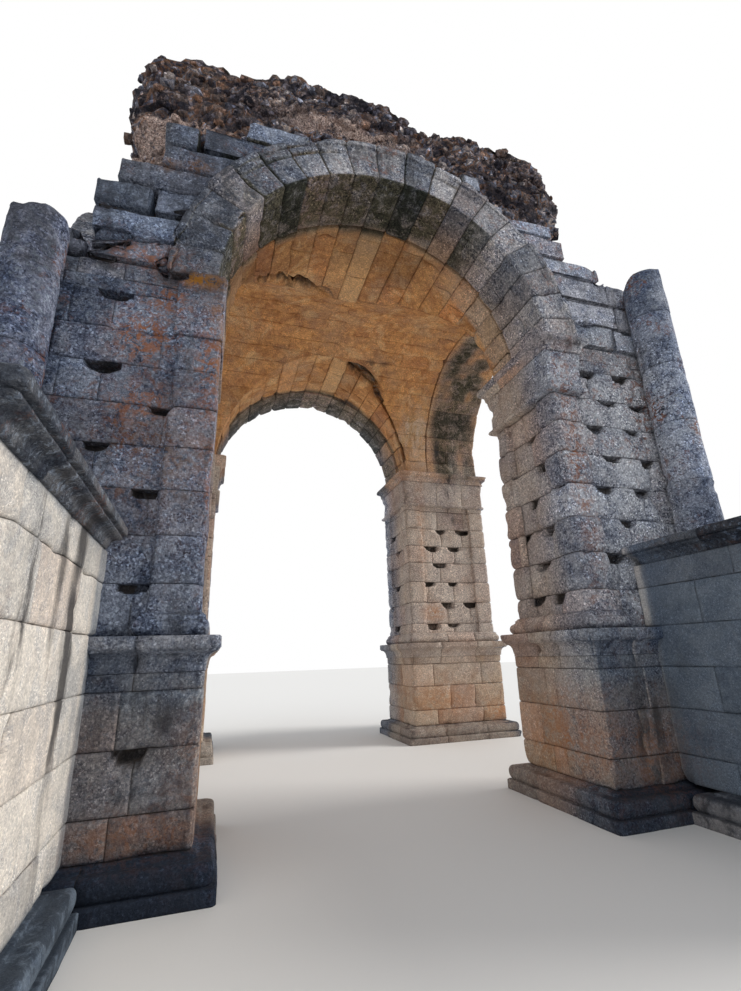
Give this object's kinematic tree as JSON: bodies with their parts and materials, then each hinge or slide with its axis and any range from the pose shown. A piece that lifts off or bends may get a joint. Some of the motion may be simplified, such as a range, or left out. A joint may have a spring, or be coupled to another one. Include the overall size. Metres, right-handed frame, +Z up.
{
  "type": "triumphal arch",
  "caption": "Ruined stone triumphal arch open on every side: a groin vault on corner piers, engaged columns, long pedestals and a broken rubble top.",
  "frame": {"origin": "middle of the whole plan at ground level, pedestals included", "axes": "+X to the right across the front, +Y from the front to the rear along the main passage, +Z up"},
  "size_m": [8.58, 10.65, 9.8591],
  "materials": {
    "base_stone": "weathered",
    "podium_stone": "weathered",
    "cap_stone": "weathered",
    "shaft_stone": "weathered",
    "impost_stone": "weathered",
    "pedestal_stone": "weathered",
    "cornice_stone": "weathered",
    "column_stone": "weathered",
    "arch_stone": "weathered",
    "vault_stone": "weathered",
    "haunch_stone": "weathered",
    "rubble": "rough"
  },
  "bodies": {
    "root": {"front_left_base": "base_stone", "front_right_base": "base_stone", "rear_left_base": "base_stone", "rear_right_base": "base_stone", "front_left_podium": "podium_stone", "front_right_podium": "podium_stone", "rear_left_podium": "podium_stone", "rear_right_podium": "podium_stone", "front_left_podium_cap": "cap_stone", "front_right_podium_cap": "cap_stone", "rear_left_podium_cap": "cap_stone", "rear_right_podium_cap": "cap_stone", "front_left_shaft": "shaft_stone", "front_right_shaft": "shaft_stone", "rear_left_shaft": "shaft_stone", "rear_right_shaft": "shaft_stone", "front_left_impost": "impost_stone", "front_right_impost": "impost_stone", "rear_left_impost": "impost_stone", "rear_right_impost": "impost_stone", "front_left_pedestal": "pedestal_stone", "front_right_pedestal": "pedestal_stone", "rear_left_pedestal": "pedestal_stone", "rear_right_pedestal": "pedestal_stone", "front_left_pedestal_cornice": "cornice_stone", "front_right_pedestal_cornice": "cornice_stone", "rear_left_pedestal_cornice": "cornice_stone", "rear_right_pedestal_cornice": "cornice_stone", "front_left_column": "column_stone", "front_right_column": "column_stone", "rear_left_column": "column_stone", "rear_right_column": "column_stone", "front_arch": "arch_stone", "rear_arch": "arch_stone", "left_arch": "arch_stone", "right_arch": "arch_stone", "groin_vault": "vault_stone", "front_left_haunch": "haunch_stone", "front_right_haunch": "haunch_stone", "rear_left_haunch": "haunch_stone", "rear_right_haunch": "haunch_stone", "rubble_core": "rubble"}
  },
  "joints": []
}
